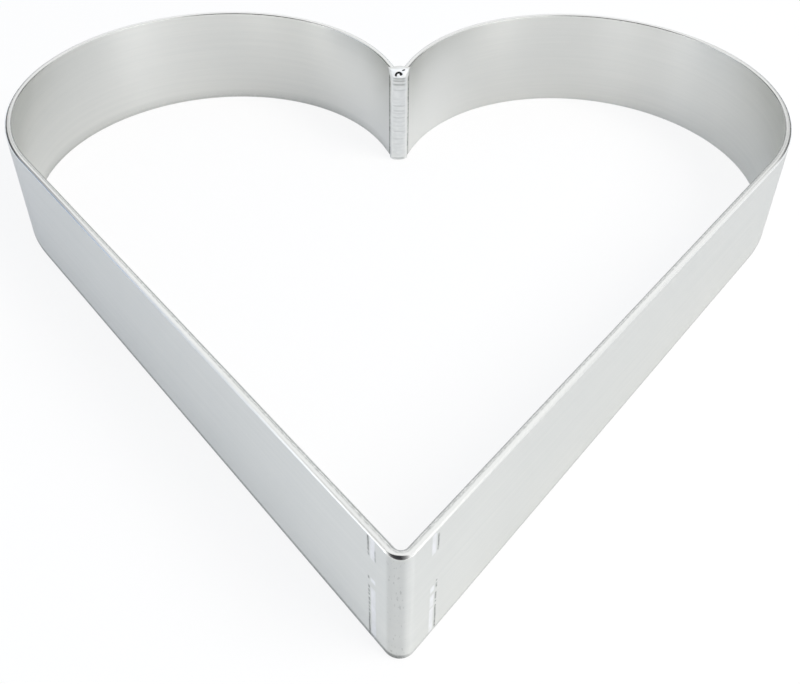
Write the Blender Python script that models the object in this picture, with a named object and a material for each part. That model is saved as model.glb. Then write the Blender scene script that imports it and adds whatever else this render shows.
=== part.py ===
"""Heart cake ring: one flat stainless strip bent into a heart and welded shut at the cleft.

The ring lies flat, its open side up and its point towards -Y. The origin is under the middle of
the ring, on the surface that it stands on. All sizes are in metres, angles in degrees.
"""
import math

import bmesh
import bpy

# Strip: 35 by 2 mm flat bar, its long edges eased with a deburring wheel.
STRIP_WIDTH = 0.035
STRIP_THICKNESS = 0.002
EDGE_RADIUS = 0.0003

# Heart, measured on the strip's outer face. Each lobe is rolled until a flat end of this length
# reaches the weld. Lobes set so far apart that it can't are rolled until the two ends close to
# the least cleft angle, and their flat ends run on from there to the weld.
LOBE_RADIUS = 0.062
LOBE_SPACING = 0.1208
POINT_ANGLE = 100.8
POINT_RADIUS = 0.0036
FLAT_END_LENGTH = 0.0048
CLEFT_ANGLE_LEAST = 30

# Weld: closes the cleft from rim to rim and stands proud as a nose inside the ring.
WELD_OPENING = 0.0023
WELD_PROJECTION = 0.0031
WELD_ROUNDNESS = 2.2
WELD_TOP_RADIUS = 0.0020
WELD_BOTTOM_RADIUS = 0.0010
WELD_END_SETBACK = 0.00015
RIPPLE_PITCH = 0.00125
RIPPLE_DEPTH = 0.00012

# Clearance between two pieces that touch on the real ring.
SEAM_GAP = 0.0003

# Fineness of the facets.
LOBE_STEP = 3.0
BEND_STEP = 8.0
EDGE_SEGMENTS = 2
NOSE_POINTS = 9
RIPPLE_STATIONS = 3

# Corners turning by more than this are shaded as corners, or eased with EDGE_RADIUS.
SHARP_ANGLE = 35
EASED_ANGLE = 60

# Places that follow from the sizes above. Each lobe's centre is at (+-LOBE_X, 0) in heart
# coordinates, and the whole heart is then moved by SHIFT_Y.
LOBE_X = LOBE_SPACING / 2
SIDE_TILT = 90 - POINT_ANGLE / 2
POINT_CENTRE_Y = (
    POINT_RADIUS - LOBE_RADIUS - LOBE_X * math.cos(math.radians(SIDE_TILT))
) / math.sin(math.radians(SIDE_TILT))
POINT_Y = POINT_CENTRE_Y - POINT_RADIUS
SHIFT_Y = -(LOBE_RADIUS + POINT_Y) / 2


def empty_scene():
    """Removes what the file starts with."""
    for thing in list(bpy.data.objects):
        bpy.data.objects.remove(thing)


def steel(name, colour, roughness):
    """A bare metal with the given colour and roughness."""
    material = bpy.data.materials.new(name)
    material.use_nodes = True
    shader = material.node_tree.nodes["Principled BSDF"]
    shader.inputs["Base Color"].default_value = (*colour, 1)
    shader.inputs["Metallic"].default_value = 1.0
    shader.inputs["Roughness"].default_value = roughness
    material.diffuse_color = (*colour, 1)
    return material


def add_object(name, bm, material):
    """Turns a bmesh into a smooth-shaded object with sharp corners."""
    mesh = bpy.data.meshes.new(name)
    bm.to_mesh(mesh)
    bm.free()
    mesh.shade_smooth()
    mesh.set_sharp_from_angle(angle=math.radians(SHARP_ANGLE))
    mesh.materials.append(material)
    piece = bpy.data.objects.new(name, mesh)
    piece.location.y = SHIFT_Y
    bpy.context.scene.collection.objects.link(piece)
    return piece


def arc(centre, radius, start, end, step):
    """Points on an arc, both ends included, at most step degrees apart."""
    count = max(1, math.ceil(abs(end - start) / step))
    points = []
    for i in range(count + 1):
        angle = math.radians(start + (end - start) * i / count)
        x = centre[0] + radius * math.cos(angle)
        y = centre[1] + radius * math.sin(angle)
        points.append((x, y))
    return points


def lobe_end_angle():
    """Where the rolled arc stops and the flat end starts."""
    reach = math.hypot(LOBE_RADIUS, FLAT_END_LENGTH)
    lead = math.degrees(math.atan2(FLAT_END_LENGTH, LOBE_RADIUS))
    gap = LOBE_X - WELD_OPENING / 2
    meeting = math.degrees(math.acos(max(-1, -gap / reach))) - lead
    return min(meeting, 180 - CLEFT_ANGLE_LEAST / 2)


def strip_end():
    """The cut end on +X: its outer corner, its inner corner and the way that it points."""
    angle = math.radians(lobe_end_angle())
    along = (-math.sin(angle), math.cos(angle))
    outwards = (math.cos(angle), math.sin(angle))
    arc_end = (LOBE_X + LOBE_RADIUS * outwards[0], LOBE_RADIUS * outwards[1])
    flat_length = (WELD_OPENING / 2 - arc_end[0]) / along[0]
    outer = (WELD_OPENING / 2, arc_end[1] + flat_length * along[1])
    inner = (
        outer[0] - STRIP_THICKNESS * outwards[0],
        outer[1] - STRIP_THICKNESS * outwards[1],
    )
    return outer, inner, along


def right_half():
    """The strip's outer face on +X, from its cut end over the lobe to the middle of the point."""
    end, _, _ = strip_end()
    centre = (LOBE_X, 0)
    points = [end]
    stops = (lobe_end_angle(), 90, 0, -SIDE_TILT)
    for start, stop in zip(stops, stops[1:]):
        run = arc(centre, LOBE_RADIUS, start, stop, LOBE_STEP)
        points += run if len(points) == 1 else run[1:]
    return points + arc((0, POINT_CENTRE_Y), POINT_RADIUS, -SIDE_TILT, -90, BEND_STEP)


def make_heart_band(material):
    """Stainless strip, rolled at the lobes and folded once at the point.

    Its outer face is drawn as one open line, drawn up to the strip's width and given its wall,
    which leaves both ends cut square.
    """
    half = right_half()
    line = half + [(-x, y) for x, y in reversed(half[:-1])]
    bm = bmesh.new()
    verts = [bm.verts.new((x, y, 0)) for x, y in line]
    edges = [bm.edges.new(pair) for pair in zip(verts, verts[1:])]
    raised = bmesh.ops.extrude_edge_only(bm, edges=edges)["geom"]
    raised_verts = [item for item in raised if isinstance(item, bmesh.types.BMVert)]
    bmesh.ops.translate(bm, verts=raised_verts, vec=(0, 0, STRIP_WIDTH))
    bmesh.ops.recalc_face_normals(bm, faces=bm.faces)
    bm.faces.ensure_lookup_table()
    lobe_side = max(bm.faces, key=lambda face: face.calc_center_median().x)
    if lobe_side.normal.x < 0:
        bmesh.ops.reverse_faces(bm, faces=bm.faces)
    band = add_object("heart_band", bm, material)

    wall = band.modifiers.new("wall", "SOLIDIFY")
    wall.thickness = STRIP_THICKNESS
    wall.offset = -1
    wall.use_even_offset = True

    edge = band.modifiers.new("deburred edge", "BEVEL")
    edge.width = EDGE_RADIUS
    edge.segments = EDGE_SEGMENTS
    edge.limit_method = "ANGLE"
    edge.angle_limit = math.radians(EASED_ANGLE)
    return band


def weld_outline(projection):
    """The weld's plan: straight backs against the two strip ends, and a rounded nose.

    The nose is a superellipse, as wide as the strip's two inner corners and projection deep.
    """
    outer, inner, along = strip_end()
    root = (outer[0] + SEAM_GAP * along[0], outer[1] + SEAM_GAP * along[1])
    toe = (inner[0] + SEAM_GAP * along[0], inner[1] + SEAM_GAP * along[1])
    depth = projection - (inner[1] - toe[1])
    power = 2 / WELD_ROUNDNESS
    nose = []
    for i in range(NOSE_POINTS + 1):
        angle = math.radians(90 * i / NOSE_POINTS)
        x = toe[0] * abs(math.cos(angle)) ** power
        y = toe[1] - depth * math.sin(angle) ** power
        nose.append((x, y))
    nose[-1] = (0, toe[1] - depth)
    half = [root] + nose
    return half + [(-x, y) for x, y in reversed(half[:-1])]


def end_recess(height):
    """How far the nose draws back near its rounded top and bottom ends."""
    top = STRIP_WIDTH - WELD_END_SETBACK
    bottom = WELD_END_SETBACK
    recess = 0
    ends = ((top - height, WELD_TOP_RADIUS), (height - bottom, WELD_BOTTOM_RADIUS))
    for distance, radius in ends:
        rise = max(0, 1 - distance / radius)
        recess += radius * (1 - math.sqrt(max(0, 1 - rise * rise)))
    return recess


def make_notch_weld(material):
    """Weld metal between the strip's two ends, laid from rim to rim in shallow ripples."""
    length = STRIP_WIDTH - 2 * WELD_END_SETBACK
    ripples = max(1, round(length / RIPPLE_PITCH))
    sections = ripples * RIPPLE_STATIONS
    bm = bmesh.new()
    rings = []
    for i in range(sections + 1):
        height = WELD_END_SETBACK + length * i / sections
        trough = RIPPLE_DEPTH * (1 - math.cos(2 * math.pi * i / RIPPLE_STATIONS)) / 2
        outline = weld_outline(WELD_PROJECTION - trough - end_recess(height))
        rings.append([bm.verts.new((x, y, height)) for x, y in outline])
    for low, high in zip(rings, rings[1:]):
        for i, corner in enumerate(low):
            bm.faces.new((low[i - 1], corner, high[i], high[i - 1]))
    bm.faces.new(rings[0])
    bm.faces.new(rings[-1])
    bmesh.ops.recalc_face_normals(bm, faces=bm.faces)
    return add_object("notch_weld", bm, material)


empty_scene()
make_heart_band(steel("brushed stainless", (0.62, 0.63, 0.63), 0.34))
make_notch_weld(steel("weld metal", (0.66, 0.67, 0.66), 0.28))
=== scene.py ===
import math

import bpy
import numpy as np
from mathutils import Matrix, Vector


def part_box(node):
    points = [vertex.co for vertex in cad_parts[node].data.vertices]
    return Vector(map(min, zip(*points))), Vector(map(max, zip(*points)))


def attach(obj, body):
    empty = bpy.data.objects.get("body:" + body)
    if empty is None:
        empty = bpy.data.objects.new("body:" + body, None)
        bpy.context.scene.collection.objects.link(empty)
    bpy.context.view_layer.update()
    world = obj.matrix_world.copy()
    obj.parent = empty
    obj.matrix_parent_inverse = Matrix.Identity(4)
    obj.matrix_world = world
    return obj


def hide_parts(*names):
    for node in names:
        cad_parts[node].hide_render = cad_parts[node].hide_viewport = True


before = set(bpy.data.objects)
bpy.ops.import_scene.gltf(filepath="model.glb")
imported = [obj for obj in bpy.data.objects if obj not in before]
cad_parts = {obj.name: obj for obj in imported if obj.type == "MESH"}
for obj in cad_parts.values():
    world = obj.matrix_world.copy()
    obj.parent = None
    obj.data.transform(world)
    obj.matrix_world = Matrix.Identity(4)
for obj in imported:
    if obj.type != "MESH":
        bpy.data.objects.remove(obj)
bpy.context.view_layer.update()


# Heart band: one length of 35 by 2 mm stainless bar with a satin grain along it. It is rolled into
# two lobes and bent once at the point, where the press brake has left its marks beside the bend.
# Its two cut ends meet at the cleft, and the weld joins them.
BAR_WIDTH = 0.035
BAR_WALL = 0.002
LOBE_RADIUS = 0.062
LOBE_X = 0.0604
LOBE_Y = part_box("heart_band")[1].y - LOBE_RADIUS
SIDE_TILT = math.radians(39.6)
BEND_RADIUS = 0.0036
CUT_GAP = 0.0023
FLAT_END = 0.0048

# A station is a distance along the outer face from the cut end on +X. The lobe ends at LOBE_END and
# the straight side at SIDE_END, and the middle of the bend is the APEX.
GAP_REACH = math.hypot(LOBE_RADIUS, FLAT_END)
GAP_LEAD = math.atan2(FLAT_END, LOBE_RADIUS)
END_ANGLE = math.acos((CUT_GAP / 2 - LOBE_X) / GAP_REACH) - GAP_LEAD
LOBE_END = FLAT_END + LOBE_RADIUS * (END_ANGLE + SIDE_TILT)
BEND_Y = LOBE_Y + (BEND_RADIUS - LOBE_RADIUS - LOBE_X * math.cos(SIDE_TILT)) / math.sin(SIDE_TILT)
SIDE_X = LOBE_X + (LOBE_RADIUS - BEND_RADIUS) * math.cos(SIDE_TILT)
SIDE_Y = LOBE_Y - BEND_Y - (LOBE_RADIUS - BEND_RADIUS) * math.sin(SIDE_TILT)
SIDE_END = LOBE_END + math.hypot(SIDE_X, SIDE_Y)
APEX = SIDE_END + BEND_RADIUS * (math.pi / 2 - SIDE_TILT)


def smooth_step(low, high, value):
    """0 below low, 1 above high, and three t squared less two t cubed between them."""
    t = np.clip((value - low) / (high - low), 0, 1)
    return t * t * (3 - 2 * t)


def bell(value, centre, width):
    """1 at centre, falling off as the exponential of minus the distance over width, squared."""
    return np.exp(-((value - centre) / width) ** 2)


def waver(height, waves):
    """Waves added up, each its size times the sine of its rate times the height plus its phase."""
    return sum(size * np.sin(height * rate + phase) for size, rate, phase in waves)


def bar_line(station):
    """The bar's outer face at each station, as points and outward normals.

    A point is its arc's centre plus radius times the normal, and on a straight run it is also moved
    along the run. Past the apex the line is the mirror of its first half.
    """
    mirrored = station > APEX
    s = np.where(mirrored, 2 * APEX - station, station)
    turned = np.clip(s - FLAT_END, 0, LOBE_END - FLAT_END) / LOBE_RADIUS
    angle = END_ANGLE - turned - np.clip(s - SIDE_END, 0, None) / BEND_RADIUS
    on_bend = s > SIDE_END
    centre_x = np.where(on_bend, 0, LOBE_X)
    centre_y = np.where(on_bend, BEND_Y, LOBE_Y)
    radius = np.where(on_bend, BEND_RADIUS, LOBE_RADIUS)
    run = np.clip(FLAT_END - s, 0, None) - np.clip(s - LOBE_END, 0, None)
    run = np.where(on_bend, 0, run)
    x = centre_x + radius * np.cos(angle) - run * np.sin(angle)
    y = centre_y + radius * np.sin(angle) + run * np.cos(angle)
    side = np.where(mirrored, -1, 1)
    return np.stack([side * x, y], 1), np.stack([side * np.cos(angle), np.sin(angle)], 1)


# Corners, eased with a deburring wheel: the upper outer one is wide at the lobes, narrow towards the
# point, pressed into a small chamfer on the bend and pinched beside it. A pair called FADES holds the
# value, here the distance from the apex, up to which a thing is whole and the one where it is gone,
# and a pair called RISES the other way round.
OUTER_EASE = 0.00078
OUTER_EASE_NEAR_POINT = 0.00038
NEAR_POINT_FADES = (0.004, 0.16)
OUTER_EASE_ON_BEND = 0.00058
EASE_ON_BEND_FADES = (0.0003, 0.0030)
PINCH_DEPTH = 0.00008
PINCH_AT = 0.0028
PINCH_LEAN = 0.0003
PINCH_WIDTH = 0.0012
INNER_EASE = 0.00036
LOW_EASE = 0.00040
EDGE_FLATNESS = 1.4
FLATNESS_ON_SIDES = 1.65
SIDES_FADES = (0.14, 0.18)
FLATNESS_ON_BEND = 1.97
BEND_FADES = (0.0026, 0.0050)
RIM_CROWN = 0.00005

# Rows of points over a corner and over an edge, with those at its ends, and over each face as shares
# of its height, where they are closer together beside the corners.
CORNER_ROWS = 8
EDGE_ROWS = 9
OUTER_ROWS = np.concatenate([[0, 0.004, 0.012], np.linspace(0.02, 0.98, 130), [0.988, 0.996, 1]])
INNER_ROWS = np.concatenate([[0, 0.01, 0.03], np.linspace(0.1, 0.9, 9), [0.97, 0.99, 1]])

# The section's parts in order, from the foot of the outer face round to where it starts.
OUTER_FACE, TOP_OUTER, TOP_EDGE, TOP_INNER, INNER_FACE, FOOT_INNER, FOOT_EDGE, FOOT_OUTER = range(8)


def bar_section(station):
    """The bar's section at each station: each point's depth in the bar, its height and its part.

    A corner of size e takes e times (1 - cosine to the power of its flatness) off the wall and e
    times (1 - sine to that power) off the height. A flatness of 1 is a quarter circle and one of 2
    a chamfer. The two edges are crowned by a parabola between the corners.
    """
    from_apex = np.abs(station - APEX)[:, None]
    each = np.zeros_like(from_apex)
    near_point = 1 - smooth_step(*NEAR_POINT_FADES, from_apex)
    outer = OUTER_EASE + (OUTER_EASE_NEAR_POINT - OUTER_EASE) * near_point
    outer = outer + (OUTER_EASE_ON_BEND - outer) * (1 - smooth_step(*EASE_ON_BEND_FADES, from_apex))
    pinch_centre = PINCH_AT + PINCH_LEAN * np.sign(station - APEX)[:, None]
    outer = outer - PINCH_DEPTH * bell(from_apex, pinch_centre, PINCH_WIDTH)
    on_sides = 1 - smooth_step(*SIDES_FADES, from_apex)
    flatness = EDGE_FLATNESS + (FLATNESS_ON_SIDES - EDGE_FLATNESS) * on_sides
    flatness = flatness + (FLATNESS_ON_BEND - flatness) * (1 - smooth_step(*BEND_FADES, from_apex))
    turn = np.linspace(0, math.pi / 2, CORNER_ROWS)[None, 1:-1]
    rise = np.sin(turn) ** flatness
    fall = 1 - np.cos(turn) ** flatness
    across = np.linspace(-1, 1, EDGE_ROWS)[None, 1:-1]
    crown = RIM_CROWN * (1 - across * across)
    half_top = (BAR_WALL - outer - INNER_EASE) / 2
    half_foot = (BAR_WALL - 2 * LOW_EASE) / 2
    depths = [
        each * OUTER_ROWS,
        outer * fall,
        outer + half_top + half_top * across,
        BAR_WALL - INNER_EASE * fall[:, ::-1],
        BAR_WALL + each * INNER_ROWS,
        BAR_WALL - LOW_EASE * fall,
        BAR_WALL / 2 - half_foot * across + each,
        LOW_EASE * fall[:, ::-1],
    ]
    top = BAR_WIDTH - RIM_CROWN
    face_low = RIM_CROWN + LOW_EASE
    inner_top = top - INNER_EASE
    heights = [
        face_low + (top - outer - face_low) * OUTER_ROWS,
        top - outer * (1 - rise),
        top + crown + each,
        top - INNER_EASE * (1 - rise)[:, ::-1],
        inner_top - (inner_top - face_low) * INNER_ROWS + each,
        face_low - LOW_EASE * rise,
        RIM_CROWN - crown + each,
        face_low - LOW_EASE * rise[:, ::-1],
    ]
    parts = np.concatenate([np.full(rows.shape[1], part) for part, rows in enumerate(depths)])
    return np.concatenate(depths, 1), np.concatenate(heights, 1), parts


# Press brake's marks on the outer face, by their distance from the apex: a crease on each side of
# the bend, and between it and the bend a burnished land. Both come and go up the bar in spans of
# height, given in millimetres. High up, the left land also has a crease on its side to the bend.
CREASE_LEFT = 0.0083
CREASE_RIGHT = 0.00995
CREASE_HALF_WIDTH = 0.0002
CREASE_DEPTH = 0.00009
CREASE_WAVES = ((0.00004, 410, 0), (0.00003, 1270, 1))
LEFT_CREASES = ((0.4, 8.6), (9.0, 10.0), (10.4, 11.0), (11.5, 12.5), (13.0, 14.1), (14.9, 15.6),
                (16.0, 17.0), (17.5, 18.4), (20.6, 21.4), (28.4, 29.2), (29.6, 34.4))
RIGHT_CREASES = ((1.2, 9.4), (10.4, 10.9), (11.6, 14.0), (15.6, 17.1), (17.8, 18.2), (28.3, 33.2))
SECOND_CREASE = ((28.2, 31.8),)
SECOND_CREASE_SHARE = 0.6
LAND_LEFT = (0.0063, 0.0077)
LAND_RIGHT = (0.0080, 0.0092)
LAND_BLUR = 0.0002
LAND_DEPTH = 0.00003
LEFT_LANDS = ((0.4, 18.4), (20.4, 21.6), (27.9, 34.4))
RIGHT_LANDS = ((0.8, 9.6), (10.2, 14.2), (15.4, 17.2), (28.0, 34.2))
DASH_BLUR = 0.15


def dashes(height, spans):
    """1 inside the given spans of height, in millimetres, and 0 outside, with soft ends."""
    up = height * 1000
    value = np.zeros_like(height)
    for low, high in spans:
        inside = smooth_step(low - DASH_BLUR, low + DASH_BLUR, up)
        value = np.maximum(value, inside * (1 - smooth_step(high - DASH_BLUR, high + DASH_BLUR, up)))
    return value


def brake_marks(station, height):
    """How deep the creases beside the bend are, and how burnished the land next to each is, 0 to 1.

    A crease is a bell across the bar, a little wavy, in a row of dashes. A land has soft sides.
    """
    left = station > APEX
    from_apex = np.abs(station - APEX)
    wander = waver(height, CREASE_WAVES)
    centre = np.where(left, CREASE_LEFT, CREASE_RIGHT)
    broken = np.where(left, dashes(height, LEFT_CREASES), dashes(height, RIGHT_CREASES))
    crease = bell(from_apex - centre - wander, 0, CREASE_HALF_WIDTH) * broken
    second = SECOND_CREASE_SHARE * bell(from_apex - LAND_LEFT[0] - wander, 0, CREASE_HALF_WIDTH)
    crease = crease + second * np.where(left, dashes(height, SECOND_CREASE), 0)
    low = np.where(left, LAND_LEFT[0], LAND_RIGHT[0])
    high = np.where(left, LAND_LEFT[1], LAND_RIGHT[1])
    inside = smooth_step(low - LAND_BLUR, low + LAND_BLUR, from_apex)
    inside = inside * (1 - smooth_step(high - LAND_BLUR, high + LAND_BLUR, from_apex))
    return crease, inside * np.where(left, dashes(height, LEFT_LANDS), dashes(height, RIGHT_LANDS))


def closed_skin(name, grid, along, round_it, marks):
    """A tube from a grid of points: rows along it, columns round it, and a face on each end.

    The UV map holds the distances along the piece and round its section, in metres, and each mark
    becomes an attribute of its name.
    """
    rows, columns = grid.shape[:2]
    points = np.arange(rows * columns).reshape(rows, columns)
    after = np.roll(points, -1, 1)
    quads = np.stack([points[:-1], after[:-1], after[1:], points[1:]], -1).reshape(-1, 4)
    caps = [points[0, ::-1].tolist(), points[-1].tolist()]
    mesh = bpy.data.meshes.new(name)
    mesh.from_pydata(grid.reshape(-1, 3).tolist(), [], quads.tolist() + caps)
    unrolled = np.stack(np.meshgrid(along, round_it, indexing="ij"), -1)
    low, high = unrolled[:-1], unrolled[1:]
    uv_of_quads = np.stack([low[:, :-1], low[:, 1:], high[:, 1:], high[:, :-1]], 2).reshape(-1, 2)
    uv = np.concatenate([uv_of_quads, unrolled[0, :-1][::-1], unrolled[-1, :-1]])
    layer = mesh.uv_layers.new(name="along_bar")
    layer.uv.foreach_set("vector", uv.astype(np.float32).ravel())
    for label, values in marks.items():
        attribute = mesh.attributes.new(label, "FLOAT", "POINT")
        spread = np.broadcast_to(values, (rows, columns))
        attribute.data.foreach_set("value", spread.astype(np.float32).ravel())
    smooth = np.ones(len(mesh.polygons), bool)
    smooth[-2:] = False
    mesh.polygons.foreach_set("use_smooth", smooth)
    mesh.validate()
    piece = bpy.data.objects.new(name, mesh)
    bpy.context.scene.collection.objects.link(piece)
    return piece


# Stretches of the skin along half of the bar: the station where each ends, and its rows with both
# ends. They are closest together at the weld, under the brake's marks and on the bend. The outer face
# lies SKIN_INSET inside the solid's, so that the skin stays in its box.
CLOSE_AT_WELD = 0.0018
MARKS_FROM = APEX - 0.0108
MARKS_TO = APEX - 0.0058
STRETCHES = ((CLOSE_AT_WELD, 8), (FLAT_END, 4), (LOBE_END, 133), (MARKS_FROM, 22), (MARKS_TO, 44),
             (SIDE_END, 6), (APEX, 20))
SKIN_INSET = 0.000001

starts = [0] + [stop for stop, count in STRETCHES]
stretches = [np.linspace(start, stop, count)[:-1] for start, (stop, count) in zip(starts, STRETCHES)]
half_stations = np.concatenate(stretches + [[APEX]])
stations = np.concatenate([half_stations, 2 * APEX - half_stations[-2::-1]])
line, normals = bar_line(stations)
depths, heights, parts = bar_section(stations)
outer_face = (parts == OUTER_FACE)[None, :]
crease, burnish = (mark * outer_face for mark in brake_marks(stations[:, None], heights))
depths = depths + CREASE_DEPTH * crease + LAND_DEPTH * burnish + SKIN_INSET * outer_face
points = line[:, None, :] - normals[:, None, :] * depths[:, :, None]
band_grid = np.concatenate([points, heights[:, :, None]], 2)
middle_row = band_grid[len(stations) // 2]
steps = np.linalg.norm(np.roll(middle_row, -1, 0) - middle_row, axis=1)
round_bar = np.concatenate([[0], np.cumsum(steps)])

# The skin's marks. Each says how strong one mark is at every point: most are kinds of finish, and some are
# painted light and shade.
SIDE_RISES = (LOBE_END - 0.05, LOBE_END + 0.01)
left_of_apex = (stations - APEX)[:, None]
from_apex = np.abs(left_of_apex)
to_weld = np.minimum(stations, 2 * APEX - stations)[:, None]
on_side = smooth_step(*SIDE_RISES, to_weld)
inner_face = (parts == INNER_FACE)[None, :]
edges = np.isin(parts, (TOP_OUTER, TOP_EDGE, TOP_INNER, FOOT_INNER, FOOT_EDGE, FOOT_OUTER))[None, :]

# Filed: the inner half of both edges on the straight sides, by millimetres from the outer face.
FILED_RISES = (0.9, 1.15)
FILED_FADES = (1.6, 1.8)
depth_mm = depths * 1000
filed = edges * on_side * smooth_step(*FILED_RISES, depth_mm) * (1 - smooth_step(*FILED_FADES, depth_mm))

# Arris: the corners are smoother than the faces. The upper outer one is smoother still where it is
# pressed over the bend, and dull beside it.
PRESSED_FADES = (0.0022, 0.0036)
PRESSED_GAIN = 0.55
DULL_RISES = (0.0030, 0.0045)
DULL_FADES = (0.05, 0.14)
DULL_LOSS = 1.8
eased = np.isin(parts, (TOP_OUTER, TOP_INNER, FOOT_INNER, FOOT_OUTER))[None, :]
pressed = 1 - smooth_step(*PRESSED_FADES, from_apex)
dull = smooth_step(*DULL_RISES, from_apex) * (1 - smooth_step(*DULL_FADES, from_apex))
arris = eased * (1 + (parts == TOP_OUTER)[None, :] * (PRESSED_GAIN * pressed - DULL_LOSS * dull))

# Foot: painted shade, a dark line along the bar's foot, higher and darker on the bend and on the
# left. A thinner line of painted shade runs along the upper inner corner.
FOOT_OUTSIDE = 0.8
FOOT_INSIDE = 0.4
FOOT_FADES = (0.0009, 0.0017)
FOOT_BEND_AT = 0.0009
FOOT_BEND_FADES = (0.001, 0.004)
FOOT_BEND_LIFT = 0.00015
FOOT_BEND_GAIN = 0.3
FOOT_LEFT_RISES = (-0.0030, 0.0008)
FOOT_LEFT_LIFT = 0.0002
FOOT_ON_RIGHT = 0.3
FOOT_LEFT_GAIN = 0.6
INNER_LINE = 0.25
INNER_LINE_ON_SIDES = 0.3
outside = np.isin(parts, (OUTER_FACE, FOOT_OUTER))[None, :]
inside = np.isin(parts, (INNER_FACE, FOOT_INNER))[None, :]
near_bend = 1 - smooth_step(*FOOT_BEND_FADES, np.abs(left_of_apex - FOOT_BEND_AT))
on_left = smooth_step(*FOOT_LEFT_RISES, left_of_apex)
above_foot = heights - FOOT_BEND_LIFT * near_bend - FOOT_LEFT_LIFT * on_left
foot_shade = (FOOT_OUTSIDE * outside + FOOT_INSIDE * inside) * (1 - smooth_step(*FOOT_FADES, above_foot))
foot_shade = foot_shade * (1 + FOOT_BEND_GAIN * near_bend) * (FOOT_ON_RIGHT + FOOT_LEFT_GAIN * on_left)
foot_shade = foot_shade + (INNER_LINE + INNER_LINE_ON_SIDES * on_side) * (parts == TOP_INNER)[None, :]

# Toe: grime on the inner face against the weld. Painted light: the inner face's ends beside the
# weld are painted brighter, fading towards the upper edge. Fold: a strip down the bend, mostly left
# of the apex, painted darker as shade, with darker nicks.
TOE_FADES = (0.0007, 0.0012)
PAINTED_LIGHT_FADES = (0.018, 0.052)
PAINTED_LIGHT_HEIGHT_FADES = (0.024, 0.040)
FOLD_RISES = (-0.0016, -0.0002)
FOLD_FADES = (0.0022, 0.0034)
toe = (1 - smooth_step(*TOE_FADES, to_weld)) * inner_face
painted_light_at_weld = (1 - smooth_step(*PAINTED_LIGHT_FADES, to_weld)) * (1 - smooth_step(*PAINTED_LIGHT_HEIGHT_FADES, heights))
fold_shade_and_nicks = smooth_step(*FOLD_RISES, left_of_apex) * (1 - smooth_step(*FOLD_FADES, left_of_apex))
band_marks = {"crease": crease, "burnish": burnish, "edge": edges, "raw_edge": filed, "arris": arris,
              "foot_shade": foot_shade, "toe": toe, "fold_shade_and_nicks": fold_shade_and_nicks * outer_face, "outer_painted_shade": outer_face,
              "weld_painted_light": painted_light_at_weld * inner_face}


class Wire:
    """A shader socket in an expression: its operators add Math nodes, and node() adds any other node."""

    def __init__(self, tree, socket=None):
        self.tree = tree
        self.socket = socket

    def node(self, kind, settings=None, values=None, output=0):
        """A node of this kind: its settings are set first, then its sockets are filled or linked."""
        made = self.tree.nodes.new("ShaderNode" + kind)
        for name, value in (settings or {}).items():
            setattr(made, name, value)
        for name, value in (values or {}).items():
            if isinstance(value, Wire):
                self.tree.links.new(value.socket, made.inputs[name])
            else:
                made.inputs[name].default_value = value
        return Wire(self.tree, made.outputs[output])

    def maths(self, operation, first, second):
        """One operation on two values or wires."""
        return self.node("Math", {"operation": operation}, {0: first, 1: second})

    def __add__(self, other):
        return self.maths("ADD", self, other)

    __radd__ = __add__

    def __sub__(self, other):
        return self.maths("SUBTRACT", self, other)

    def __rsub__(self, other):
        return self.maths("SUBTRACT", other, self)

    def __mul__(self, other):
        return self.maths("MULTIPLY", self, other)

    __rmul__ = __mul__

    def ramp(self, low, high):
        """0 at low, 1 at high, held outside them."""
        return self.node("MapRange", {"interpolation_type": "SMOOTHSTEP"}, {"Value": self, 1: low, 2: high})

    def blend(self, low, high):
        """The colour low where this is 0, and high where it is 1."""
        return self.node("Mix", {"data_type": "RGBA"}, {0: self, 6: low, 7: high}, 2)

    def scaled(self, factors):
        """This vector with each component multiplied."""
        return self.node("VectorMath", {"operation": "MULTIPLY"}, {0: self, 1: factors})

    def noise(self, scale, detail, roughness=0.5):
        """Noise over this vector, about 0.5, with scale cells in each unit."""
        return self.node("TexNoise", {}, {"Vector": self, "Scale": scale, "Detail": detail,
                                          "Roughness": roughness})

    def mark(self, label):
        """How strong the skin's mark of this name is."""
        return self.node("Attribute", {"attribute_name": label}, output="Fac")

    def feed(self, shader, wires):
        """Links each wire to the shader's socket of its name."""
        for name, wire in wires.items():
            self.tree.links.new(wire.socket, shader.inputs[name])


def new_material(name):
    """A material with a Principled shader, as (material, its tree's wires, the shader node)."""
    material = bpy.data.materials.new(name)
    material.use_nodes = True
    return material, Wire(material.node_tree), material.node_tree.nodes["Principled BSDF"]


# Colours of the bar's finishes and of its painted light and shade. The first two are the darkest and the
# lightest of its grain, and the filed ones those of the file's scratches. The bright one is the edges'
# colour and painted light, the nicked one painted shade with nicks, and the foot's colour painted shade.
GRAIN_DARK = (0.693, 0.708, 0.694, 1)
GRAIN_LIGHT = (0.812, 0.815, 0.794, 1)
BRIGHT_STEEL_AND_HIGHLIGHT = (0.90, 0.91, 0.90, 1)
NICKED_AND_SHADED = (0.38, 0.395, 0.39, 1)
FILED_DARK = (0.50, 0.515, 0.51, 1)
FILED_LIGHT = (0.80, 0.81, 0.80, 1)
BURNISHED = (0.92, 0.93, 0.96, 1)
CREASE_DARK = (0.12, 0.125, 0.13, 1)
FOOT_SHADE = (0.24, 0.25, 0.245, 1)
TOE_GRIME = (0.19, 0.195, 0.19, 1)

# Cells of noise in a metre, along the bar and round it, or in every direction.
GRAIN_CELLS = (45, 4200, 1)
STREAK_CELLS = (14, 700, 1)
NICK_CELLS = (1900, 620, 1)
FILE_CELLS = (900, 5200, 1)
RUB_CELLS = (700, 420, 1)
CLOUD_CELLS = 38
SPECK_CELLS = 2200


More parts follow.
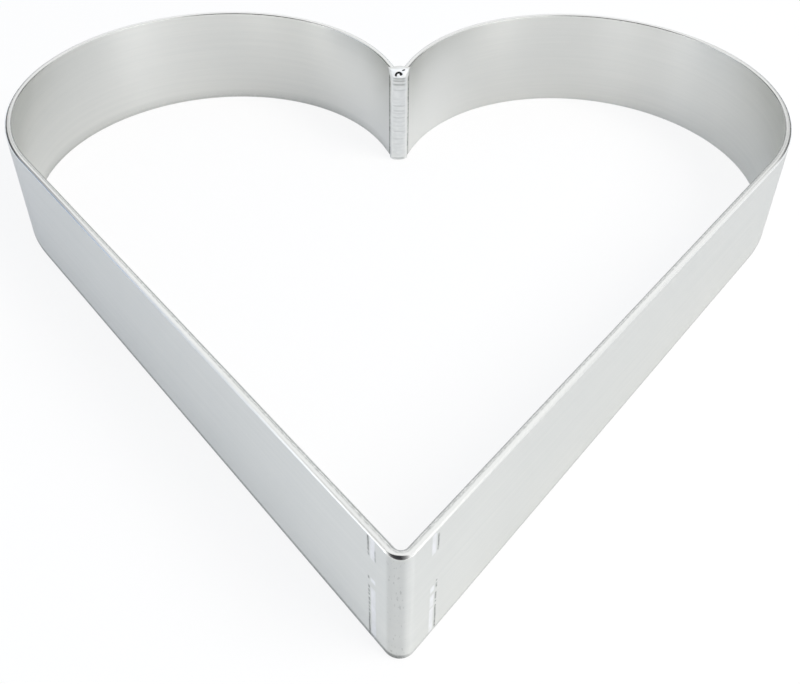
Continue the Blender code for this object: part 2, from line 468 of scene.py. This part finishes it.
def satin_stainless(name):
    """Stainless bar with a satin grain along it and soft clouds, under the skin's marks.

    Each mark, times the share beside it, blends its own colour over what is below it: the light
    finishes and painted light come first, and the dark creases, the painted shade at the foot and the grime
    at the weld's toe last. The outer face is painted darker as shade, and the bend darker as shade with
    nicks.
    """
    material, w, shader = new_material(name)
    bar = w.node("UVMap", {"uv_map": "along_bar"})
    place = w.node("TexCoord", output="Object")
    grain = bar.scaled(GRAIN_CELLS).noise(1, 3, 0.6)
    streak = bar.scaled(STREAK_CELLS).noise(1, 2)
    cloud = place.noise(CLOUD_CELLS, 2)
    edge = w.mark("edge")
    burnish = w.mark("burnish")
    # The outer face is painted a little darker than the inner one: painted shade.
    tone = 0.5 + 0.5 * (grain - 0.5) + 0.45 * (streak - 0.5) + 0.45 * (cloud - 0.5) - 0.25 * w.mark("outer_painted_shade")
    colour = tone.blend(GRAIN_DARK, GRAIN_LIGHT)
    # The inner face's ends beside the weld are painted brighter: painted light.
    colour = (w.mark("weld_painted_light") * 0.8).blend(colour, BRIGHT_STEEL_AND_HIGHLIGHT)
    nicks = bar.scaled(NICK_CELLS).noise(1, 2).ramp(0.61, 0.69)
    # A strip down the bend is painted darker, with darker nicks in it: painted shade and nicks.
    colour = (w.mark("fold_shade_and_nicks") * (0.26 + 0.4 * nicks)).blend(colour, NICKED_AND_SHADED)
    colour = edge.blend(colour, BRIGHT_STEEL_AND_HIGHLIGHT)
    scratches = bar.scaled(FILE_CELLS).noise(1, 2).ramp(0.3, 0.7)
    colour = (w.mark("raw_edge") * 0.9).blend(colour, scratches.blend(FILED_DARK, FILED_LIGHT))
    rubbed = bar.scaled(RUB_CELLS).noise(1, 2).ramp(0.3, 0.7)
    colour = (burnish * (0.45 + 0.35 * rubbed)).blend(colour, BURNISHED)
    specks = place.noise(SPECK_CELLS, 1).ramp(0.25, 0.6)
    # The creases are darker, in specks.
    colour = (w.mark("crease") * (0.4 + 0.55 * specks)).blend(colour, CREASE_DARK)
    # A speckled dark line along the foot and a thinner one along the upper inner corner: painted shade.
    colour = (w.mark("foot_shade") * (0.6 + 0.4 * specks)).blend(colour, FOOT_SHADE)
    colour = (w.mark("toe") * (0.3 + 0.7 * specks)).blend(colour, TOE_GRIME)
    rough = 0.45 + 0.06 * (grain - 0.5) + 0.08 * (cloud - 0.5) - 0.15 * edge
    rough = rough - 0.14 * w.mark("arris") - 0.08 * burnish
    bump = w.node("Bump", {}, {"Strength": 0.25, "Distance": 0.00001, "Height": grain + 0.5 * streak})
    w.feed(shader, {"Base Color": colour, "Roughness": rough, "Normal": bump})
    shader.inputs["Metallic"].default_value = 1
    shader.inputs["Anisotropic"].default_value = 0.8
    shader.inputs["Anisotropic Rotation"].default_value = 0.25
    return material


band = closed_skin("band_skin", band_grid, stations, round_bar, band_marks)
band.data.materials.append(satin_stainless("satin_stainless"))
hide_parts("heart_band")
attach(band, "root")


# Notch weld: the bead of weld metal that closes the cleft from rim to rim. It stands proud inside the
# ring as a rounded nose, its front brushed flat across the ripples. Its flared top end has a small
# open crater where the torch stopped, and its foot ends in a lip.

# Bead: its toes lie NOSE_TOE behind the strip's inner corners and TOE_SPREAD wide of them, and its
# cleft side laps CLEFT_OVERLAP over each outer corner.
NOSE_PROUD = 0.0031
NOSE_SQUARENESS = 2.7
NOSE_TOE = 0.00035
TOE_SPREAD = 0.2 * NOSE_TOE
NOSE_POINTS = 97
CLEFT_BEAD = 0.0005
CLEFT_OVERLAP = 0.0004
CLEFT_POINTS = 17
BEAD_SETBACK = 0.0001
TOP_DROP = 0.0021
TOP_FLARE = 0.0006
FLARE_RISES = (0.0315, 0.0345)
FOOT_DROP = 0.0008
FOOT_ROUNDING = 0.0011
TOE_WAVES = ((0.00004, 700, 0), (0.00003, 1730, 2), (0.00002, 3900, 0))
CLEFT_WAVES = ((0.00008, 1500, 0),)

# Ripples: the grooves across the front, each by its millimetres up the bead, its width and its
# strength. They rise from the bead's sides, by the share of its half width from there.
RIPPLE_DEPTH = 0.00011
GROOVES = ((32.3, 0.30, 0.9), (31.4, 0.30, 1.0), (30.1, 0.34, 0.9), (28.0, 0.22, 0.4),
           (24.4, 0.25, 0.12), (22.0, 0.20, 0.5), (20.1, 0.20, 0.4), (19.1, 0.18, 0.3),
           (17.4, 0.20, 0.45), (15.8, 0.18, 0.2), (14.1, 0.25, 0.15), (12.0, 0.20, 0.4),
           (9.0, 0.25, 0.25), (6.9, 0.25, 0.2), (1.05, 0.22, 0.8))
GROOVE_SIDE_RISES = (0.15, 0.6)

# Crater, in millimetres across and up the bead: an arch open to the lower right, a pinhole inside it
# and a slit above it that climbs to the right.
CRATER_DEPTH = 0.0006
ARCH_X, ARCH_UP = -0.15, 33.45
ARCH_REACH_X, ARCH_REACH_UP = 1.25, 0.95
ARCH_RING, ARCH_WIDTH = 0.80, 0.25
ARCH_RISES = (-0.35, 0.2)
ARCH_LEAN = 0.25
PINHOLE_X, PINHOLE_UP = 0.45, 33.6
PINHOLE_WIDTH = 0.30
SLIT_X, SLIT_LENGTH = 1.45, 0.55
SLIT_UP, SLIT_WIDTH = 34.70, 0.11
SLIT_CLIMB, SLIT_CLIMBS_FROM = 0.10, 1.2
ARCH_STRENGTH, PINHOLE_STRENGTH, SLIT_STRENGTH = 1.25, 0.9, 1.2

# Shoulders and crown: a painted highlight down each side of the nose, and a brushed cap on its top
# end that widens upwards, painted near white as a highlight.
SHOULDER_AT, SHOULDER_WIDTH = 0.80, 0.09
CROWN_FOOT = 0.0322
CROWN_RISES = (CROWN_FOOT, 0.0333)
CROWN_HALF_WIDTH = 0.0016
CROWN_SPREAD = 0.5
CROWN_SIDE_FADES = (-0.0002, 0.0003)

end_normal = np.array([math.cos(END_ANGLE), math.sin(END_ANGLE)])
end_along = np.array([-math.sin(END_ANGLE), math.cos(END_ANGLE)])
end_outer = np.array([CUT_GAP / 2, LOBE_Y + LOBE_RADIUS * end_normal[1] + FLAT_END * end_along[1]])
end_inner = end_outer - BAR_WALL * end_normal


def bead_ripples(height):
    """How deep the grooves are at each height, each a bell of its own width and strength."""
    total = np.zeros_like(height)
    for centre, width, strength in GROOVES:
        total += strength * bell(height * 1000, centre, width)
    return total


def bead_crater(x, height):
    """1 in the crater's arch, pinhole and slit, and 0 away from them.

    The arch is a bell across an ellipse, cut off along a leaning line. The pinhole is a bell of the
    distance from its centre, and the slit one across its climbing line times one along it.
    """
    across, up = x * 1000, height * 1000
    ring = np.hypot((across - ARCH_X) / ARCH_REACH_X, (up - ARCH_UP) / ARCH_REACH_UP)
    arch = bell(ring, ARCH_RING, ARCH_WIDTH) * smooth_step(*ARCH_RISES, up - ARCH_UP - ARCH_LEAN * across)
    pinhole = bell(np.hypot(across - PINHOLE_X, up - PINHOLE_UP), 0, PINHOLE_WIDTH)
    slit_line = SLIT_UP + SLIT_CLIMB * (across - SLIT_CLIMBS_FROM)
    slit = bell(up, slit_line, SLIT_WIDTH) * bell(across, SLIT_X, SLIT_LENGTH)
    return np.clip(ARCH_STRENGTH * arch + PINHOLE_STRENGTH * pinhole + SLIT_STRENGTH * slit, 0, 1)


def bead_outline(height):
    """Points round the bead at each height, from the left toe over the nose and back along the cleft.

    The nose is a superellipse between the toes, wider where the top flares, and its two ends draw
    back along quarter ellipses. The cleft side is a parabola over the strip's two ends. The marks
    are the grooves, the crater, the shoulders' painted highlight and the brushed crown's painted highlight.
    """
    h = height[:, None]
    angle = np.linspace(0, math.pi, NOSE_POINTS)[None, :]
    cosine, sine = np.cos(angle), np.sin(angle)
    power = 2 / NOSE_SQUARENESS
    top_end = np.clip(1 - (BAR_WIDTH - BEAD_SETBACK - h) / TOP_DROP, 0, 1)
    foot_end = np.clip(1 - (h - BEAD_SETBACK) / FOOT_ROUNDING, 0, 1)
    drawn = TOP_DROP * (1 - np.sqrt(1 - top_end ** 2)) + FOOT_DROP * (1 - np.sqrt(1 - foot_end ** 2))
    half_width = end_inner[0] + TOE_SPREAD + waver(h, TOE_WAVES) * np.sign(-cosine)
    half_width = half_width + TOP_FLARE * smooth_step(*FLARE_RISES, h)
    x = -half_width * np.sign(cosine) * np.abs(cosine) ** power
    from_middle = np.abs(x) / half_width
    front = np.clip(sine, 0, 1) ** 0.5
    ripple = bead_ripples(h) * smooth_step(*GROOVE_SIDE_RISES, 1 - from_middle)
    crater = bead_crater(x, h) * front
    proud = NOSE_PROUD + NOSE_TOE - drawn - RIPPLE_DEPTH * ripple
    y = end_inner[1] + NOSE_TOE - proud * sine ** power + CRATER_DEPTH * crater
    back = np.linspace(1, -1, CLEFT_POINTS)[None, 1:-1]
    back_x = back * (CUT_GAP / 2 + CLEFT_OVERLAP) + np.zeros_like(h)
    back_y = end_outer[1] + CLEFT_BEAD * (1 - back ** 2) + waver(h, CLEFT_WAVES)
    shoulder_highlight = bell(from_middle, SHOULDER_AT, SHOULDER_WIDTH) * front
    crown_half = CROWN_HALF_WIDTH + CROWN_SPREAD * np.clip(h - CROWN_FOOT, 0, None)
    on_crown = 1 - smooth_step(*CROWN_SIDE_FADES, np.abs(x) - crown_half)
    crown = smooth_step(*CROWN_RISES, h) * on_crown
    marks = {"groove": ripple, "pit": crater, "shoulder_highlight": shoulder_highlight, "crown": crown}
    for label, values in marks.items():
        on_back = np.broadcast_to(values[:, :1], back_x.shape)
        marks[label] = np.concatenate([values, on_back], 1)
    return np.concatenate([x, back_x], 1), np.concatenate([y, back_y], 1), marks


# Rows up the bead, closer together round the crater, and the length that its unrolled skin is given.
BEAD_END = 0.00012
CLOSE_ROWS_FROM = 0.029
BEAD_ROUND = 0.016

lower_rows = np.linspace(BEAD_END, CLOSE_ROWS_FROM, 250)[:-1]
upper_rows = np.linspace(CLOSE_ROWS_FROM, BAR_WIDTH - BEAD_END, 90)
bead_heights = np.concatenate([lower_rows, upper_rows])
outline_x, outline_y, bead_marks = bead_outline(bead_heights)
bead_grid = np.stack([outline_x, outline_y, np.broadcast_to(bead_heights[:, None], outline_x.shape)], 2)
round_bead = np.linspace(0, BEAD_ROUND, outline_x.shape[1] + 1)

WELD_DARK = (0.70, 0.715, 0.705, 1)
WELD_LIGHT = (0.76, 0.77, 0.76, 1)
# The crown's near white is a painted highlight on its brushed cap.
BRUSHED_CROWN_HIGHLIGHT = (0.96, 0.965, 0.955, 1)
GROOVE_DARK = (0.26, 0.27, 0.27, 1)
# The crater's near black is painted shadow in the pit.
CRATER_SHADOW = (0.012, 0.012, 0.012, 1)
MOTTLE_CELLS = 500


def weld_metal(name):
    """Mottled weld metal, dark in its grooves, with painted highlights on its shoulders and crown and
    painted shadow in its crater.
    """
    material, w, shader = new_material(name)
    mottle = w.node("TexCoord", output="Object").scaled((1, 1, 2)).noise(MOTTLE_CELLS, 2)
    pit = w.mark("pit")
    crown = w.mark("crown")
    colour = mottle.ramp(0.3, 0.7).blend(WELD_DARK, WELD_LIGHT)
    # The shoulders are painted bright: painted highlight.
    colour = (w.mark("shoulder_highlight") * 0.6).blend(colour, BRIGHT_STEEL_AND_HIGHLIGHT)
    # The crown is painted near white: painted highlight.
    colour = crown.blend(colour, BRUSHED_CROWN_HIGHLIGHT)
    colour = (w.mark("groove") * 0.72).blend(colour, GROOVE_DARK)
    # The crater is painted near black: painted shadow.
    colour = pit.ramp(0.25, 0.6).blend(colour, CRATER_SHADOW)
    rough = 0.30 + 0.08 * mottle + 0.3 * pit + 0.3 * crown
    bump = w.node("Bump", {}, {"Strength": 0.15, "Distance": 0.00002, "Height": mottle})
    w.feed(shader, {"Base Color": colour, "Roughness": rough, "Normal": bump, "Metallic": 1 - 0.6 * crown})
    return material


bead = closed_skin("weld_bead", bead_grid, bead_heights, round_bead, bead_marks)
bead.data.materials.append(weld_metal("weld_metal"))
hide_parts("notch_weld")
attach(bead, "root")


# Table: a plain white sweep that the ring stands on, with the ring's soft shadow. Most of its white is
# its own light for the camera, and a third of it in the steel. From below it is seen through, so that
# the ring's underside shows.
TABLE_HALF = 4.0
TABLE_COLOUR = (0.93, 0.93, 0.93, 1)
TABLE_ROUGHNESS = 0.6
WHITE = (1, 1, 1, 1)
LIFT_SEEN = 0.87
LIFT_REFLECTED = 0.35


def kinds_of_ray(w):
    """1 for the camera's own rays, for mirrored ones and for those let through, and 0 for others."""
    path = w.node("LightPath").socket.node
    return [Wire(w.tree, path.outputs[f"Is {kind} Ray"]) for kind in ("Camera", "Glossy", "Transmission")]


table_mesh = bpy.data.meshes.new("white_table")
corners = [(TABLE_HALF * x, TABLE_HALF * y, 0) for x, y in ((-1, -1), (1, -1), (1, 1), (-1, 1))]
table_mesh.from_pydata(corners, [], [(0, 1, 2, 3)])
table = bpy.data.objects.new("white_table", table_mesh)
bpy.context.scene.collection.objects.link(table)
table_white, w, shader = new_material("table_white")
shader.inputs["Base Color"].default_value = TABLE_COLOUR
shader.inputs["Roughness"].default_value = TABLE_ROUGHNESS
seen, mirrored, through = kinds_of_ray(w)
white = w.node("Emission", {}, {"Color": WHITE, "Strength": 1})
lift = LIFT_SEEN * seen + LIFT_REFLECTED * (mirrored + through)
lit = w.node("MixShader", {}, {0: lift, 1: Wire(w.tree, shader.outputs[0]), 2: white})
clear = w.node("BsdfTransparent")
below = w.node("NewGeometry", output="Backfacing")
w.feed(w.tree.nodes["Material Output"], {"Surface": w.node("MixShader", {}, {0: below, 1: lit, 2: clear})})
table_mesh.materials.append(table_white)


# Studio: a white room with a few soft boards standing in it, and two strip softboxes at the front,
# which the steel mirrors. A warm key softbox at the front right lights the table and isn't mirrored.
AMBIENT = (0.505, 0.575, 0.70)

# Each board: azimuth from +Y towards +X and half width, elevation and half height, all in degrees,
# then its tone. It is whole over BOARD_WHOLE of its half width and gone at BOARD_GONE of it. Its
# upper and lower borders are soft over BOARD_BLUR of the elevation's sine to either side.
BOARDS = ((170, 62, 2, 19, (1.75, 1.72, 1.67)),
          (205, 8, 0, 14, (2.9, 2.87, 2.8)),
          (94, 14, 0, 12, (0.74, 0.74, 0.73)),
          (274, 20, 0, 11, (0.26, 0.385, 0.60)),
          (313, 24, 8, 16, (0.02, 0.022, 0.025)),
          (43, 22, 8, 16, (0.10, 0.10, 0.10)),
          (212, 51, 51, 24, (0.035, 0.035, 0.04)),
          (0, 28, 2, 12, (0.50, 0.51, 0.52)))
BOARD_WHOLE = 0.6
BOARD_GONE = 1.4
BOARD_BLUR = 0.08

world = bpy.data.worlds.new("white_room")
bpy.context.scene.world = world
world.use_nodes = True
world.cycles.sampling_method = "NONE"
w = Wire(world.node_tree)
seen, mirrored, through = kinds_of_ray(w)
way = w.node("TexCoord", output="Generated")
climb = w.node("SeparateXYZ", {}, {0: way}, 2)
level_way = w.node("VectorMath", {"operation": "NORMALIZE"}, {0: way.scaled((1, 1, 0))})
room = WHITE
for azimuth, half_width, elevation, half_height, tone in BOARDS:
    facing = (math.sin(math.radians(azimuth)), math.cos(math.radians(azimuth)), 0)
    towards = w.node("VectorMath", {"operation": "DOT_PRODUCT"}, {0: level_way, 1: facing}, 1)
    whole, gone = (math.cos(math.radians(half_width * share)) for share in (BOARD_WHOLE, BOARD_GONE))
    low, high = (math.sin(math.radians(elevation + side * half_height)) for side in (-1, 1))
    above = climb.ramp(low - BOARD_BLUR, low + BOARD_BLUR)
    below = 1 - climb.ramp(high - BOARD_BLUR, high + BOARD_BLUR)
    room = (towards.ramp(gone, whole) * above * below).blend(room, (*tone, 1))
studio = w.maths("MAXIMUM", mirrored, through).blend((*AMBIENT, 1), room)
w.feed(world.node_tree.nodes["Background"], {"Color": seen.blend(studio, WHITE)})


def softbox(name, azimuth, elevation, distance, size, radiance, colour):
    """An area lamp facing the ring, placed by two angles in degrees and by its distance in metres.

    Its power is radiance times four times its area.
    """
    lamp = bpy.data.lights.new(name, "AREA")
    lamp.shape = "RECTANGLE"
    lamp.size, lamp.size_y = size
    lamp.energy = radiance * 4 * size[0] * size[1]
    lamp.color = colour
    a, e = math.radians(azimuth), math.radians(elevation)
    way = Vector((math.sin(a) * math.cos(e), math.cos(a) * math.cos(e), math.sin(e)))
    box = bpy.data.objects.new(name, lamp)
    bpy.context.scene.collection.objects.link(box)
    box.location = distance * way
    box.rotation_mode = "QUATERNION"
    box.rotation_quaternion = way.to_track_quat("Z", "Y")
    box.visible_camera = False
    return box


key = softbox("key_softbox", azimuth=112, elevation=48, distance=1.3, size=(0.7, 0.7),
              radiance=6.9, colour=(1.0, 0.935, 0.83))
key.visible_glossy = False
softbox("front_right_strip", azimuth=126, elevation=4, distance=1.1, size=(0.36, 0.46),
        radiance=1.35, colour=(1.0, 0.99, 0.97))
softbox("front_left_strip", azimuth=250, elevation=4, distance=1.1, size=(0.24, 0.46),
        radiance=2.1, colour=(1.0, 1.0, 0.99))


# Camera: the photograph's viewing angle. The lens is a little wider than normal, and the small shift
# keeps the ring in the frame while the camera looks down at it. Its place counts from the point
# midway between the lobes' centres, on the table.
FOCAL_PIXELS = 937.4
IMAGE_WIDTH = 800
SENSOR = 36.0
SHIFT_PIXELS = 96
NEAREST_SEEN = 0.01
CAMERA_X, CAMERA_Y, CAMERA_Z = -0.0015, -0.2648, 0.1814
PITCH, YAW, ROLL = (math.radians(degrees) for degrees in (38.15, 0.47, 0.55))

lens = bpy.data.cameras.new("photo_view")
lens.sensor_width = SENSOR
lens.lens = FOCAL_PIXELS / IMAGE_WIDTH * SENSOR
lens.shift_y = -SHIFT_PIXELS / IMAGE_WIDTH
lens.clip_start = NEAREST_SEEN
camera = bpy.data.objects.new("photo_view", lens)
bpy.context.scene.collection.objects.link(camera)
camera.location = (CAMERA_X, CAMERA_Y + LOBE_Y, CAMERA_Z)
camera.rotation_mode = "XYZ"
aim = Vector((math.sin(YAW) * math.cos(PITCH), math.cos(YAW) * math.cos(PITCH), -math.sin(PITCH)))
turn = aim.to_track_quat("-Z", "Y").to_matrix()
camera.rotation_euler = (turn @ Matrix.Rotation(ROLL, 3, "Z")).to_euler()
bpy.context.scene.camera = camera

bpy.context.scene.view_settings.view_transform = "Standard"
